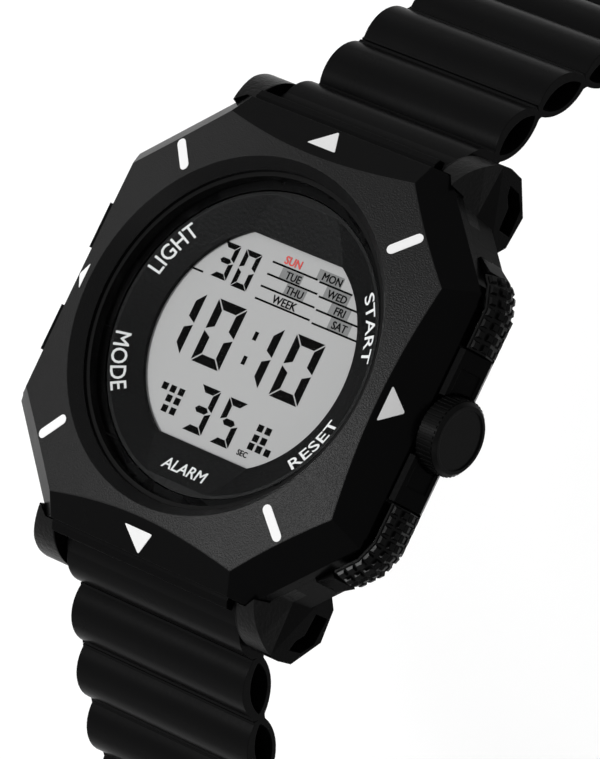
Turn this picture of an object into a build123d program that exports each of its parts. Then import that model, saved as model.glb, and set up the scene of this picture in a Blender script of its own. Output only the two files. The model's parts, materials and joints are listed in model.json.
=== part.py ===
from build123d import *
import os
from math import cos, hypot, radians, sin, sqrt

# A digital wrist watch. Millimetres, +X to 3 o'clock, +Y to 12 o'clock, +Z out of the dial.
# The origin is the centre of the case back's outer face. A depth is counted down from
# the level of the circle that carries the bezel's hour bars.

# Bezel
marker_level = 14.2
marker_radius = 21.0
cone_slope_share = 0.2
bezel_half_length = 22.96
bezel_half_width = 23.0
bezel_corner_top = 23.25
bezel_corner_base = 25.8
bezel_corner_foot_depth = 3.6
bezel_bottom_depth = 5.0
vertex_distance = 20.65
vertex_depth = 0.6
facet_foot_depth = 2.3
side_facet_foot = 22.0
side_facet_foot_depth = 2.4
side_band_foot_depth = 3.8
bezel_wall = 1.6
bezel_roof_depth = 2.1
bezel_lip_depth = 1.0
opening_radius = 17.35
opening_band = 1.05
opening_edge_depth = 0.85
ledge_reach = 24.0
ledge_top_depth = 2.7
ledge_thick = 1.3
ledge_half_width = 11.9

# Case body
case_end_inset = 0.06
case_side_inset = 0.6
case_corner_inset = 0.3
case_bottom_lift = 0.3
case_waist = 4.0
case_foot_inset = 2.9
fit_gap = 0.1
cavity_radius = 15.85
neck_radius = 18.6
neck_top_depth = 1.05
strap_recess_wall = 18.9
strap_recess_top_depth = 5.0

# Ears that flank each strap, outline as distance from the centre and depth
ear_inner = 12.3
ear_outer = 15.75
ear_base = ((19.0, 2.6), (17.7, 10.5), (18.1, 12.1), (19.5, 13.6), (22.9, 14.0), (26.1, 11.1), (26.4, 9.0))
ear_crown = ((26.4, 9.0), (24.9, 5.0), (20.8, 2.6))
ear_pocket = ((24.97, 9.89), (24.71, 11.74), (23.36, 13.13), (20.56, 13.31), (20.64, 11.35),
              (22.96, 11.17), (23.87, 10.26))
ear_pocket_deep = 2.2
ear_ridge_outer = (25.4, 8.0)
ear_ridge_inner = (18.35, 11.6)
ear_facet = ((0.0, 0.0), (0.3, 2.4), (0.9, 4.8), (1.9, 9.0))

# Guards of the crown and end pieces of the pushers, as distance and depth
guard_from = 2.9
guard_to = 8.05
guard_profile = ((21.5, 5.05), (23.15, 5.05), (23.15, 4.0), (23.9, 4.0), (24.95, 7.3), (23.4, 9.6),
                 (21.5, 12.0))
guard_panel = ((24.06, 4.5), (24.82, 6.9))
guard_panel_deep = 0.2
guard_panel_margin = 1.8
guard_crown_gap = 0.35
sill_profile = ((21.5, 8.85), (23.95, 8.85), (23.4, 9.6), (21.5, 12.0))
sill_to = 12.3
end_piece_top_depth = 5.1
end_piece_bottom_depth = 8.8
end_piece_thick = 1.1
end_piece_length = 2.0

# Crown
crown_radius = 3.8
crown_standoff = 0.3
crown_thick = 2.7
crown_depth = 6.7
crown_edge = 0.35
crown_dish_radius = 3.1
crown_dish_deep = 0.15
crown_stem_radius = 1.0
crown_stem_length = 3.7

# Crystal and dial ring
crystal_radius = 16.85
crystal_top_depth = 1.2
crystal_thick = 1.25
crystal_edge = 0.2
gasket_outer = 17.3
ring_radius = 15.75
ring_rim_depth = 2.5
ring_rim_width = 0.35
window_radius = 12.4
window_half_height = 10.83
window_depth = 4.0
ring_bottom_depth = 4.45
ring_crest_radius = 14.9

# Display and movement
display_corners = ((13.0, 7.5), (9.5, 11.5))
display_top_depth = 4.5
display_thick = 1.1
reflector_thick = 0.2
backlight_thick = 0.3
display_gap = 0.1
holder_radius = 15.65
holder_top_depth = 4.55
board_radius = 14.6
board_top_depth = 8.45
board_thick = 0.8
board_gap = 0.12
tray_bottom_depth = 11.9
battery_radius = 10.0
battery_thick = 2.6
battery_top_depth = 9.3
battery_y = 3.2
battery_lip = 0.8
battery_clip_thick = 0.25
battery_clip_width = 6.0
chip_half = 3.2
chip_thick = 1.0
chip_y = -3.5
quartz_radius = 0.9
quartz_length = 5.4
quartz_y = 4.5
connector_y = 10.3
connector_half_length = 8.2
connector_thick = 1.4
leaf_x = 9.2
leaf_thick = 0.2
leaf_width = 1.6
leaf_foot = 1.5
leaf_height = 2.2
buzzer_radius = 7.5
buzzer_thick = 0.35
buzzer_y = -5.2
buzzer_spring_y = -10.4
buzzer_spring_radius = 0.7
buzzer_spring_wire = 0.25
buzzer_spring_turns = 4

# Case back, gasket and screws
back_thick = 1.2
back_half_length = 17.4
back_half_width = 17.4
back_corner = 20.9
gasket_groove_radius = 17.0
gasket_groove_deep = 0.6
gasket_wire = 0.3
screw_x = 12.9
screw_y = 12.9
screw_head_radius = 1.4
screw_head_thick = 0.6
screw_shank_radius = 0.75
screw_length = 3.6
screw_slot_width = 0.35
screw_slot_deep = 0.3

# Pushers, a pad has a straight leg, a bevel and a corner leg
pad_top_depth = 3.9
pad_crest_depth = 6.2
pad_foot_depth = 8.6
push_travel = 0.7
pad_press_room = 0.15
pad_standoff = push_travel + pad_press_room
pad_corner_gap = 0.75
pad_side_gap = 0.2
pad_straight_thick = 0.85
pad_bevel_cut = 0.5
pad_corner_thick = 0.8
pad_bevel_angle = 22.5
pad_top_inset = 0.65
pad_foot_inset = 0.75
upper_pad_corner_length = 2.4
lower_pad_corner_length = 3.9
nub_rows = 4
nub_pitch = 1.14
nub_half = 0.4
nub_height = 0.3
nub_taper_angle = 24.0
nub_near_share = 0.02
stem_radius = 0.9
stem_gap = 0.04
stem_y = 10.9
stem_depth = 7.0
stem_in_pad = 0.55
stem_tip = 10.4
eclip_thick = 0.3
eclip_radius = 1.7
eclip_mouth = 1.2
eclip_pocket_wall = 15.0
eclip_pocket_half = 2.1
leaf_pocket_inner = 8.2
seal_wire = 0.3
seal_gap = 0.02
spring_pocket_radius = 1.95
spring_pocket_floor = 19.8
spring_wire = 0.2
spring_radius = 1.35
spring_turns = 3

# Spring bars
bar_y = 22.8
bar_depth = 8.8
bar_radius = 0.9
bar_pin_radius = 0.45
bar_pin_reach = 13.5
bar_pin_gap = 0.05
bar_half_length = 11.95

# Strap, both halves
strap_half_width = 11.75
strap_end_half_width = 10.2
strap_taper_top_depth = 42.2
strap_taper_bottom_depth = 62.2
strap_bore_gap = 0.05
strap_eye_radius = 3.2
strap_eye_half_top = 3.1
strap_eye_half_bottom = 2.4
strap_eye_back = 2.5
strap_neck = 1.65
neck_flat = 0.5
pillow_half_top = 2.25
pillow_half_bottom = 1.75
pillow_top_wall = 1.05
pillow_bottom_wall = 0.5
pillow_side_pocket = 5.0
pocket_end_wall = 0.4
pocket_end_half = 0.12
band_thick = 3.0
strap_pitch = 6.9

# Buckle half, headings are degrees below the level direction away from the case
buckle_start = (27.0, 3.0)
buckle_angles = (26.0, 42.0, 50.0, 57.0, 63.0, 68.0)
buckle_arc_length = 20.0
buckle_arc_angle = 30.0
buckle_straight = 26.5
buckle_eye_radius = 2.1
tongue_slot_width = 2.7
tongue_slot_length = 5.2

# Tail half
tail_start = (26.8, 3.0)
tail_angles = (40.0, 48.0, 52.0, 57.0, 62.0, 67.0)
tail_arc_length = 58.0
tail_arc_angle = 75.0
tail_tip_length = 9.0
tail_tip_half_width = 5.0
hole_radius = 1.2
hole_count = 8
hole_first_share = 0.18
hole_step_share = 0.1

# Buckle and keeper
buckle_pin_radius = 0.75
buckle_pin_gap = 0.05
frame_side = 2.0
frame_side_gap = 0.4
frame_back = 1.6
frame_length = 14.0
frame_thick = 2.4
frame_end = 2.6
frame_corner = 2.2
tongue_half_width = 1.0
tongue_thick = 1.4
tongue_eye_wall = 0.8
tongue_overhang = 0.8
tongue_lift = 0.1
keeper_length = 5.0
keeper_wall = 1.5
keeper_gap = 0.35
keeper_room = 3.2
keeper_place = 5.0
overrun = 1.0


def level(depth):
    """Height of a depth below the marker circle."""
    return marker_level - depth


def prism_x(points, x_from, x_to):
    """Solid between two X planes from an outline in (y, z)."""
    return extrude(Plane.YZ.offset(x_from) * make_face(Polyline(*points, close=True)), amount=x_to - x_from)


def prism_y(points, y_from, y_to):
    """Solid between two Y planes from an outline in (x, z)."""
    return extrude(Plane.XZ.offset(-y_to) * make_face(Polyline(*points, close=True)), amount=y_to - y_from)


def prism_z(points, z_from, z_to):
    """Solid between two Z planes from an outline in (x, y)."""
    return extrude(Plane.XY.offset(z_from) * make_face(Polyline(*points, close=True)), amount=z_to - z_from)


def disc_z(radius, z_from, z_to, x=0, y=0):
    """Round solid along Z."""
    return extrude(Plane((x, y, z_from)) * Circle(radius), amount=z_to - z_from)


def rod_x(radius, x_from, x_to, y, z):
    """Round solid along X."""
    return extrude(Plane.YZ.offset(x_from) * (Pos(y, z) * Circle(radius)), amount=x_to - x_from)


def block(x_from, x_to, y_from, y_to, z_from, z_to):
    """Box between six planes."""
    return prism_z(((x_from, y_from), (x_to, y_from), (x_to, y_to), (x_from, y_to)), z_from, z_to)


def octagon(half_width, half_length, corner):
    """Outline with flats at 3, 6, 9 and 12 and a cut across each corner."""
    diagonal = corner * sqrt(2)
    x_cut = diagonal - half_length
    y_cut = diagonal - half_width
    return ((half_width, -y_cut), (half_width, y_cut), (x_cut, half_length), (-x_cut, half_length),
            (-half_width, y_cut), (-half_width, -y_cut), (-x_cut, -half_length), (x_cut, -half_length))


def mirrored(shape, x_side, y_side):
    """The shape, moved to the side of the watch that the two signs name."""
    if x_side < 0:
        shape = mirror(shape, Plane.YZ)
    if y_side < 0:
        shape = mirror(shape, Plane.XZ)
    return shape


def save(shape, name):
    """Write one node."""
    os.makedirs("parts", exist_ok=True)
    export_step(shape, "parts/" + name + ".step")


def bezel_envelope():
    """Outer form of the bezel: a shallow cone, four facets and four leaning corners."""
    crown_line = level(0) + marker_radius * cone_slope_share
    bottom = level(bezel_bottom_depth)
    body = prism_z(octagon(bezel_half_width, bezel_half_length, bezel_corner_base), bottom, crown_line)
    reach = bezel_corner_base + overrun
    above = make_face(Polyline((0, crown_line), (reach, crown_line - reach * cone_slope_share),
                               (reach, crown_line + overrun), (0, crown_line + overrun), close=True))
    body -= revolve(Plane.XZ * above, Axis.Z)
    slope = (facet_foot_depth - vertex_depth) / (bezel_half_length - vertex_distance)
    back = vertex_distance / 8
    end_cut = ((vertex_distance - back, level(vertex_depth) + slope * back),
               (bezel_half_length + overrun, level(facet_foot_depth) - slope * overrun),
               (bezel_half_length + overrun, crown_line + reach))
    side_slope = (side_facet_foot_depth - vertex_depth) / (side_facet_foot - vertex_distance)
    side_cut = ((vertex_distance - back, level(vertex_depth) + side_slope * back),
                (side_facet_foot, level(side_facet_foot_depth)),
                (bezel_half_width, level(side_band_foot_depth)),
                (bezel_half_width + overrun, level(side_band_foot_depth)),
                (bezel_half_width + overrun, crown_line + reach))
    lean = (bezel_corner_base - bezel_corner_top) / (bezel_corner_foot_depth - vertex_depth)
    corner_cut = ((bezel_corner_top - lean * overrun, level(vertex_depth) + overrun),
                  (bezel_corner_base, level(bezel_corner_foot_depth)),
                  (bezel_corner_base + overrun, level(bezel_corner_foot_depth)),
                  (bezel_corner_base + overrun, level(vertex_depth) + overrun))
    for side in (0, 180):
        body -= Rot(0, 0, side) * prism_x(end_cut, -reach, reach)
        body -= Rot(0, 0, side + 90) * prism_x(side_cut, -reach, reach)
    for corner in range(4):
        body -= Rot(0, 0, 45 + 90 * corner) * prism_x(corner_cut, -reach, reach)
    return body


def bezel():
    """Moulded shell that caps the case, with its round opening and the lips at 12 and 6."""
    bottom = level(bezel_bottom_depth)
    shell = bezel_envelope()
    shell -= prism_z(boss_outline(fit_gap), bottom - overrun, level(bezel_roof_depth))
    shell -= disc_z(neck_radius + fit_gap, bottom - overrun, level(bezel_lip_depth))
    band_outer = opening_radius + opening_band
    band_top = level(0) + (marker_radius - band_outer) * cone_slope_share
    opening = make_face(Polyline((0, bottom - overrun), (opening_radius, bottom - overrun),
                                 (opening_radius, level(opening_edge_depth)), (band_outer, band_top),
                                 (band_outer, level(0) + marker_radius), (0, level(0) + marker_radius),
                                 close=True))
    shell -= revolve(Plane.XZ * opening, Axis.Z)
    shell -= pad_relief()
    top = level(ledge_top_depth)
    root = bezel_half_length - bezel_wall / 2
    lip = prism_x(((root, top), (ledge_reach - ledge_thick / 2, top), (ledge_reach, top - ledge_thick / 3),
                   (ledge_reach, top - ledge_thick), (root, top - ledge_thick)),
                  -ledge_half_width, ledge_half_width)
    return shell + [lip, mirrored(lip, 1, -1)]


def meet(first_angle, first_reach, second_angle, second_reach):
    """Point where two lines meet, each given by the angle of its normal and its reach."""
    a, b = radians(first_angle), radians(second_angle)
    across = cos(a) * sin(b) - sin(a) * cos(b)
    return ((first_reach * sin(b) - second_reach * sin(a)) / across,
            (second_reach * cos(a) - first_reach * cos(b)) / across)


def pad_bevel_reach(straight, corner):
    """Reach of the bevel where a pad turns from its straight part to its corner part."""
    x, y = meet(0, straight, 45, corner)
    return x * cos(radians(pad_bevel_angle)) + y * sin(radians(pad_bevel_angle)) - pad_bevel_cut


def pad_relief():
    """Bevels on the lower corners of the bezel, which leave room for a pressed pad."""
    reach = pad_bevel_reach(bezel_half_width + pad_standoff, bezel_corner_base + pad_corner_gap)
    reach -= push_travel * cos(radians(pad_bevel_angle)) + pad_press_room
    outer = reach + bezel_wall
    side = bezel_half_width
    cut = prism_z(((reach, -side), (outer, -side), (outer, side), (reach, side)),
                  level(bezel_bottom_depth) - overrun, level(pad_top_depth - pad_press_room))
    angles = (pad_bevel_angle, -pad_bevel_angle, 180 - pad_bevel_angle, 180 + pad_bevel_angle)
    return [Rot(0, 0, angle) * cut for angle in angles]


def case_outline(inset):
    """Outline of the case under the bezel, drawn in by a further inset."""
    return octagon(bezel_half_width - case_side_inset - inset, bezel_half_length - case_end_inset - inset,
                   bezel_corner_base - case_corner_inset - inset)


def boss_outline(gap):
    """Outline of the case's raised boss inside the bezel, grown by a gap."""
    grown = gap - fit_gap
    return octagon(bezel_half_width - bezel_wall + grown, bezel_half_length - bezel_wall + grown,
                   bezel_corner_top - bezel_wall / 2 + grown)


def ear():
    """One faceted ear at 12 o'clock on the 3 o'clock side, with its chevron pocket."""
    base = Polyline(*[(y, level(depth)) for y, depth in ear_base])
    crown_arc = ThreePointArc(*[(y, level(depth)) for y, depth in ear_crown])
    last, first = ear_crown[-1], ear_base[0]
    top = Line((last[0], level(last[1])), (first[0], level(first[1])))
    body = lens_prism(make_face(Curve() + [base, crown_arc, top]), ear_inner, ear_outer)
    pocket = [(y, level(depth)) for y, depth in ear_pocket]
    body -= prism_x(pocket, ear_outer - ear_pocket_deep, ear_outer + overrun)
    run = ear_ridge_outer[0] - ear_ridge_inner[0]
    rise = ear_ridge_inner[1] - ear_ridge_outer[1]
    length = hypot(run, rise)
    ridge = Plane(origin=(ear_outer, ear_ridge_inner[0], level(ear_ridge_inner[1])), x_dir=(1, 0, 0),
                  z_dir=(0, -run / length, -rise / length))
    points = [(-inward, upward) for inward, upward in ear_facet]
    top = points[-1][1]
    points = points + [(overrun, top), (overrun, 0)]
    cut = extrude(ridge * make_face(Polyline(*points, close=True)), amount=2 * length, both=True)
    return body - cut


def guard():
    """One guard of the crown on the 3 o'clock side, with its sunk panel and the sill under the pad."""
    body = prism_y([(x, level(depth)) for x, depth in guard_profile], guard_from, guard_to)
    (top_x, top_depth), (foot_x, foot_depth) = guard_panel
    deep = guard_panel_deep
    panel = [(top_x - deep, level(top_depth)), (foot_x - deep, level(foot_depth)),
             (foot_x + overrun, level(foot_depth)), (top_x + overrun, level(top_depth))]
    body -= prism_y(panel, guard_from - overrun, guard_to - guard_panel_margin)
    room = rod_x(crown_radius + guard_crown_gap, bezel_half_width - bezel_wall,
                 bezel_half_width + crown_standoff + crown_thick, 0, level(crown_depth))
    return body - room + prism_y([(x, level(depth)) for x, depth in sill_profile], guard_to, sill_to)


def pad_end(corner_length):
    """Distance of a pad's corner end along the corner."""
    x, y = meet(0, bezel_half_width + pad_standoff, 45, bezel_corner_base + pad_corner_gap)
    return corner_length + (y - x) * cos(radians(45))


def end_piece(corner_length):
    """Smooth piece of the case past the corner end of a pad."""
    start = pad_end(corner_length) + pad_corner_gap
    case_corner = bezel_corner_base - case_corner_inset
    base = case_corner - bezel_wall
    outline = ((base, start), (case_corner + end_piece_thick, start),
               (case_corner + end_piece_thick / 2, start + end_piece_length),
               (base, start + end_piece_length))
    return Rot(0, 0, 45) * prism_z(outline, level(end_piece_bottom_depth), level(end_piece_top_depth))


def pusher_bores():
    """Everything that one pusher needs cut in the case, on the upper 3 o'clock side."""
    z = level(stem_depth)
    half = eclip_pocket_half
    side = bezel_half_width
    cut = rod_x(stem_radius + stem_gap, stem_tip, side, stem_y, z)
    cut += block(stem_tip - overrun, eclip_pocket_wall, stem_y - half, stem_y + half, z - half, z + half)
    cut += rod_x(spring_pocket_radius, spring_pocket_floor, side, stem_y, z)
    seat = stem_radius + 2 * seal_wire + seal_gap
    return cut + rod_x(seat, spring_pocket_floor - 2 * seal_wire, side, stem_y, z)


def case_body():
    """Moulded case with its cavity, neck, ears, guards and bores."""
    bottom = case_bottom_lift
    shoulder = level(bezel_bottom_depth)
    foot, waist = case_outline(case_foot_inset), case_outline(0)
    body = loft([Plane.XY.offset(bottom) * make_face(Polyline(*foot, close=True)),
                 Plane.XY.offset(case_waist) * make_face(Polyline(*waist, close=True))], ruled=True)
    body += prism_z(waist, case_waist, shoulder)
    body += prism_z(boss_outline(0), shoulder, level(bezel_roof_depth))
    body += disc_z(neck_radius, shoulder, level(neck_top_depth))
    for y_side in (1, -1):
        far = y_side * bezel_half_length
        near = y_side * strap_recess_wall
        body -= block(-ear_inner, ear_inner, min(near, far), max(near, far), bottom - overrun,
                      level(strap_recess_top_depth))
    solid_ear = ear() - prism_z(octagon(bezel_half_width + fit_gap, bezel_half_length + fit_gap,
                                        bezel_corner_base + fit_gap), shoulder, level(0))
    for x_side in (1, -1):
        for y_side, corner_length in ((1, upper_pad_corner_length), (-1, lower_pad_corner_length)):
            body += mirrored(solid_ear, x_side, y_side)
            body += mirrored(guard(), x_side, y_side)
            body += mirrored(end_piece(corner_length), x_side, y_side)
            body -= mirrored(pusher_bores(), x_side, y_side)
    body -= disc_z(cavity_radius, bottom - overrun, level(crystal_top_depth + crystal_thick))
    body -= disc_z(gasket_outer, level(crystal_top_depth + crystal_thick), level(0) + overrun)
    body -= prism_z(octagon(back_half_width + fit_gap, back_half_length + fit_gap, back_corner + fit_gap),
                    bottom - overrun, back_thick)
    groove = disc_z(gasket_groove_radius + gasket_wire, back_thick, back_thick + gasket_groove_deep)
    groove -= disc_z(gasket_groove_radius - gasket_wire, bottom, back_thick + gasket_groove_deep + overrun)
    body -= groove
    for x_side in (1, -1):
        for y_side in (1, -1):
            body -= disc_z(screw_shank_radius, 0, screw_length + overrun / 2, x_side * screw_x,
                           y_side * screw_y)
            body -= rod_x(bar_pin_radius + bar_pin_gap, min(x_side * ear_inner, x_side * bar_pin_reach),
                          max(x_side * ear_inner, x_side * bar_pin_reach), y_side * bar_y, level(bar_depth))
    crown_back = bezel_half_width + crown_standoff
    body -= rod_x(crown_stem_radius, crown_back - crown_stem_length, crown_back, 0, level(crown_depth))
    return body


def crown():
    """Plain round crown with a shallow dish and a fixed stem."""
    z = level(crown_depth)
    back = bezel_half_width + crown_standoff
    outer = back + crown_thick
    knob = rod_x(crown_radius, back, outer, 0, z)
    knob = chamfer(knob.edges().filter_by(GeomType.CIRCLE), crown_edge)
    knob -= rod_x(crown_dish_radius, outer - crown_dish_deep, outer + overrun, 0, z)
    return knob + rod_x(crown_stem_radius, back - crown_stem_length, back + crown_thick / 2, 0, z)


def crystal():
    """Flat mineral crystal with a bevelled edge."""
    top = level(crystal_top_depth)
    pane = disc_z(crystal_radius, top - crystal_thick, top)
    return chamfer(pane.edges().filter_by(GeomType.CIRCLE).sort_by(Axis.Z)[-1], crystal_edge)


def crystal_gasket():
    """Gasket between the crystal and the case."""
    top = level(crystal_top_depth)
    return disc_z(gasket_outer, top - crystal_thick, top) - disc_z(crystal_radius, 0, level(0))


def dial_ring():
    """Ring under the crystal that slopes down to the window, flat edged at 12 and 6."""
    rim = level(ring_rim_depth) - display_gap
    low = level(window_depth)
    bottom = level(ring_bottom_depth)
    ring = disc_z(ring_radius, bottom, rim)
    inside = ring_radius - ring_rim_width
    hollow = make_face(Polyline((0, low - overrun), (window_radius, low - overrun), (window_radius, low),
                                (inside, rim), (inside, rim + overrun), (0, rim + overrun), close=True))
    cone = revolve(Plane.XZ * hollow, Axis.Z)
    reach = ring_radius + overrun
    crest = level(ring_rim_depth) + overrun
    slope = (rim - low) / (ring_crest_radius - window_half_height)
    top_half = window_half_height + (crest - low) / slope
    keep = [(-window_half_height, bottom - overrun), (window_half_height, bottom - overrun),
            (window_half_height, low), (top_half, crest), (-top_half, crest), (-window_half_height, low)]
    return ring - (cone & prism_x(keep, -reach, reach))


def display_outline(gap):
    """Eight sided outline of the display, grown by a gap."""
    right = [(x + gap, y + gap) for x, y in display_corners]
    left = [(-x, y) for x, y in reversed(right)]
    below = [(-x, -y) for x, y in right]
    return right + left + below + [(x, -y) for x, y in reversed(right)]


def display_layer(top, thick):
    """One layer of the display stack."""
    return prism_z(display_outline(0), top - thick, top)


def stack_floor():
    """Height of the underside of the display stack."""
    return level(display_top_depth) - display_thick - reflector_thick - backlight_thick


def module_holder():
    """Round holder that carries the display above and the board below."""
    top = level(holder_top_depth)
    board_top = level(board_top_depth)
    body = disc_z(holder_radius, level(tray_bottom_depth), top)
    body -= prism_z(display_outline(display_gap), stack_floor(), top + overrun)
    body -= disc_z(board_radius + board_gap, level(tray_bottom_depth) - overrun, board_top)
    body -= block(-chip_half - board_gap, chip_half + board_gap, chip_y - chip_half - board_gap,
                  chip_y + chip_half + board_gap, board_top - overrun, board_top + chip_thick + board_gap)
    body -= block(-quartz_length, quartz_length, quartz_y - 2 * quartz_radius, quartz_y + 2 * quartz_radius,
                  board_top - overrun, board_top + 2 * quartz_radius + board_gap)
    for strip in connector_strips(board_gap):
        body -= strip
    half = eclip_pocket_half
    z = level(stem_depth)
    for x_side in (1, -1):
        for y_side in (1, -1):
            pocket = block(leaf_pocket_inner, holder_radius + overrun, stem_y - half, stem_y + half,
                           board_top - board_thick, z + half)
            body -= mirrored(pocket, x_side, y_side)
    return body


def connector_strips(gap):
    """The two elastic strips between the board and the display, grown by a gap."""
    strips = []
    for y_side in (1, -1):
        y = y_side * connector_y
        half = connector_thick / 2 + gap
        strips.append(block(-connector_half_length - gap, connector_half_length + gap, y - half, y + half,
                            level(board_top_depth), stack_floor()))
    return strips


def circuit_board():
    """Round circuit board with a hole for the buzzer spring."""
    top = level(board_top_depth)
    return disc_z(board_radius, top - board_thick, top)


def battery_tray():
    """Lower holder with the round well of the battery."""
    top = level(board_top_depth) - board_thick
    bottom = level(tray_bottom_depth)
    body = disc_z(board_radius, bottom, top)
    body -= disc_z(battery_radius + board_gap, bottom - overrun, top + overrun, 0, battery_y)
    well = buzzer_spring_radius + 2 * board_gap
    return body - disc_z(well, bottom - overrun, top + overrun, 0, buzzer_spring_y)


def battery():
    """Coin cell with its stepped cap."""
    top = level(battery_top_depth)
    cell = disc_z(battery_radius, top - battery_thick, top - battery_lip, 0, battery_y)
    return cell + disc_z(battery_radius - battery_lip, top - battery_thick, top, 0, battery_y)


def battery_clip():
    """Steel strap under the battery."""
    low = level(battery_top_depth) - battery_thick
    half = battery_clip_width / 2
    reach = battery_radius + 4 * board_gap
    thick = battery_clip_thick
    return block(-reach - thick, reach + thick, battery_y - half, battery_y + half, low - thick, low)


def side_contacts():
    """Leaf contacts on the board that the pusher stems press."""
    top = level(board_top_depth)
    leaves = []
    for x_side in (1, -1):
        for y_side in (1, -1):
            low, high = stem_y - leaf_width / 2, stem_y + leaf_width / 2
            leaf = block(leaf_x, leaf_x + leaf_thick, low, high, top, top + leaf_height)
            leaf += block(leaf_x - leaf_foot / 2, leaf_x + leaf_thick, low, high, top, top + leaf_thick)
            leaves.append(mirrored(leaf, x_side, y_side))
    return Compound(children=leaves)


def coil(wire, radius, turns, length):
    """Coil of square wire along Z from the origin, its ends inside the length."""
    rise = length - 3 * wire
    path = Pos(0, 0, (length - rise) / 2) * Helix(rise / turns, rise, radius)
    section = Plane(origin=path @ 0, z_dir=path % 0) * Rectangle(2 * wire, 2 * wire)
    return sweep(section, path=path)


def case_back():
    """Steel back plate, cut at its corners, with counterbores for the screws."""
    plate = prism_z(octagon(back_half_width, back_half_length, back_corner), 0, back_thick)
    for x_side in (1, -1):
        for y_side in (1, -1):
            x, y = x_side * screw_x, y_side * screw_y
            plate -= disc_z(screw_head_radius + fit_gap / 2, -overrun, screw_head_thick, x, y)
            plate -= disc_z(screw_shank_radius + fit_gap / 2, -overrun, back_thick + overrun, x, y)
    return plate


def back_screws():
    """The four slotted screws of the case back."""
    screws = []
    for x_side in (1, -1):
        for y_side in (1, -1):
            x, y = x_side * screw_x, y_side * screw_y
            screw = disc_z(screw_head_radius, 0, screw_head_thick, x, y)
            screw += disc_z(screw_shank_radius, 0, screw_length, x, y)
            slot = screw_slot_width / 2
            screw -= block(x - screw_head_radius, x + screw_head_radius, y - slot, y + slot, -overrun,
                           screw_slot_deep)
            screws.append(screw)
    return Compound(children=screws)


def square_ring(radius, half):
    """Ring of square section about Z, standing on the level plane."""
    ring = extrude(Circle(radius + half), amount=2 * half)
    return ring - extrude(Circle(radius - half), amount=2 * half)


def back_gasket():
    """Ring gasket in the groove above the case back."""
    return Pos(0, 0, back_thick) * square_ring(gasket_groove_radius, gasket_wire)


def pad_line(straight, corner, corner_length):
    """Plan line of a pad from the guard, over the bevel, to the corner end."""
    bevel = pad_bevel_reach(straight, corner)
    return (meet(0, straight, 90, guard_to + pad_side_gap), meet(0, straight, pad_bevel_angle, bevel),
            meet(pad_bevel_angle, bevel, 45, corner), meet(45, corner, 135, pad_end(corner_length)))


def pad_plan(inset, corner_length):
    """Outer line of a pad at one height, drawn in by an inset."""
    return pad_line(bezel_half_width + pad_standoff + pad_straight_thick - inset,
                    bezel_corner_base + pad_corner_gap + pad_corner_thick - inset, corner_length)


def pad_sections(corner_length):
    """The pad's outer line at its top, crest and foot, each with its depth."""
    return ((pad_top_depth, pad_plan(pad_top_inset, corner_length)),
            (pad_crest_depth, pad_plan(0, corner_length)),
            (pad_foot_depth, pad_plan(pad_foot_inset, corner_length)))


def mixed(first, second, mix):
    """Point between two points."""
    return first[0] + mix * (second[0] - first[0]), first[1] + mix * (second[1] - first[1])


def pad_point(sections, row_share, along_share):
    """Point of a pad's outer face at a share of its height and of its length."""
    depth = pad_top_depth + row_share * (pad_foot_depth - pad_top_depth)
    first, second = sections[:2] if depth < pad_crest_depth else sections[1:]
    mix = (depth - first[0]) / (second[0] - first[0])
    plan = [mixed(a, b, mix) for a, b in zip(first[1], second[1])]
    spans = [hypot(b[0] - a[0], b[1] - a[1]) for a, b in zip(plan, plan[1:])]
    left = along_share * sum(spans)
    number = 0
    while number < len(spans) - 1 and left > spans[number]:
        left -= spans[number]
        number += 1
    x, y = mixed(plan[number], plan[number + 1], left / spans[number])
    return Vector(x, y, level(depth))


def nub(sections, row_share, along_share):
    """One square nub of a pad, standing on the outer face."""
    here = pad_point(sections, row_share, along_share)
    along = pad_point(sections, row_share, along_share + nub_near_share) - here
    down = pad_point(sections, row_share + nub_near_share, along_share) - here
    outward = down.cross(along)
    plane = Plane(origin=here - outward.normalized() * nub_height, x_dir=along, z_dir=outward)
    size = 2 * (nub_half + nub_height / 2)
    return extrude(plane * Rectangle(size, size), amount=2 * nub_height, taper=nub_taper_angle)


def pad(corner_length):
    """Pusher pad wrapped round the case corner, with rows of nubs, on the upper 3 o'clock side."""
    back = bezel_half_width + pad_standoff
    inner = pad_line(back, bezel_corner_base + pad_corner_gap, corner_length)[::-1]
    sections = pad_sections(corner_length)
    faces = [Plane.XY.offset(level(depth)) * make_face(Polyline(*plan, *inner, close=True))
             for depth, plan in sections]
    body = loft(faces[:2], ruled=True) + loft(faces[1:], ruled=True)
    length = sum(hypot(b[0] - a[0], b[1] - a[1]) for a, b in zip(sections[1][1], sections[1][1][1:]))
    columns = round(length / nub_pitch)
    nubs = [nub(sections, (row + 0.5) / nub_rows, (column + 0.5) / columns)
            for row in range(nub_rows) for column in range(columns)]
    body = body + nubs
    return body - rod_x(stem_radius, back - overrun, back + stem_in_pad, stem_y, level(stem_depth))


def stem():
    """Plain round pusher stem."""
    z = level(stem_depth)
    return rod_x(stem_radius, stem_tip, bezel_half_width + pad_standoff + stem_in_pad, stem_y, z)


def stem_clip():
    """E shaped clip that keeps a stem from leaving the case."""
    z = level(stem_depth)
    clip_x = eclip_pocket_wall - eclip_thick
    clip = rod_x(eclip_radius, clip_x, eclip_pocket_wall, stem_y, z)
    clip -= rod_x(stem_radius, clip_x - overrun, eclip_pocket_wall + overrun, stem_y, z)
    half = eclip_mouth / 2
    return clip - block(clip_x - overrun, eclip_pocket_wall + overrun, stem_y - half, stem_y + half,
                        z - eclip_radius - overrun, z)


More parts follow.
